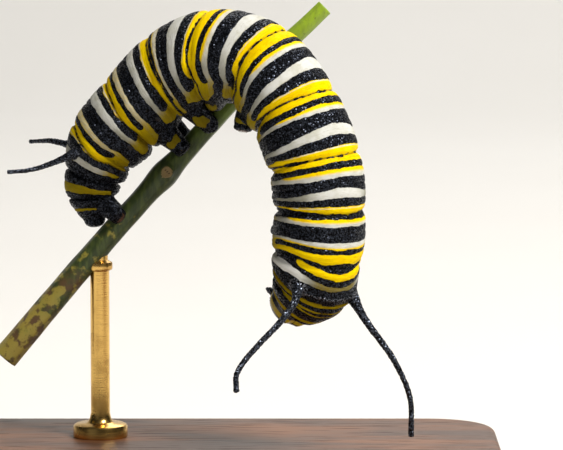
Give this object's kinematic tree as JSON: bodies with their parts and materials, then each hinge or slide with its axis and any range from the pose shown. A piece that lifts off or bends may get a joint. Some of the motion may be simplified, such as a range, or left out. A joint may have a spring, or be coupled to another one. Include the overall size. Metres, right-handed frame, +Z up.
{
  "type": "monarch larva",
  "caption": "Banded monarch larva arched over a cut length of stem, its front hanging free, on a flat display base with a rod.",
  "frame": {"origin": "middle of the underside of the stand's base", "axes": "+Z up, +X along the base towards the larva's head, +Y away from the side that its back faces"},
  "size_m": [0.042, 0.028, 0.0348],
  "materials": {
    "striped_skin": "satin",
    "black_cuticle": "gloss",
    "green_stem": "matte",
    "walnut": "satin",
    "brass": "satin"
  },
  "bodies": {
    "root": {"head": "black_cuticle", "antenna_right": "black_cuticle", "antenna_left": "black_cuticle", "prothorax": "striped_skin", "mesothorax": "striped_skin", "metathorax": "striped_skin", "abdomen_1": "striped_skin", "abdomen_2": "striped_skin", "abdomen_3": "striped_skin", "abdomen_4": "striped_skin", "abdomen_5": "striped_skin", "abdomen_6": "striped_skin", "abdomen_7": "striped_skin", "abdomen_8": "striped_skin", "abdomen_9": "striped_skin", "abdomen_10": "striped_skin", "tentacle_front_right": "black_cuticle", "tentacle_front_left": "black_cuticle", "tentacle_rear_right": "black_cuticle", "tentacle_rear_left": "black_cuticle", "leg_1_right": "black_cuticle", "leg_1_left": "black_cuticle", "leg_2_right": "black_cuticle", "leg_2_left": "black_cuticle", "leg_3_right": "black_cuticle", "leg_3_left": "black_cuticle", "proleg_3_right": "striped_skin", "proleg_3_left": "striped_skin", "proleg_4_right": "striped_skin", "proleg_4_left": "striped_skin", "proleg_5_right": "striped_skin", "proleg_5_left": "striped_skin", "proleg_6_right": "striped_skin", "proleg_6_left": "striped_skin", "clasper_right": "striped_skin", "clasper_left": "striped_skin", "perch_stem": "green_stem", "stand_base": "walnut", "stand_rod": "brass"}
  },
  "joints": []
}
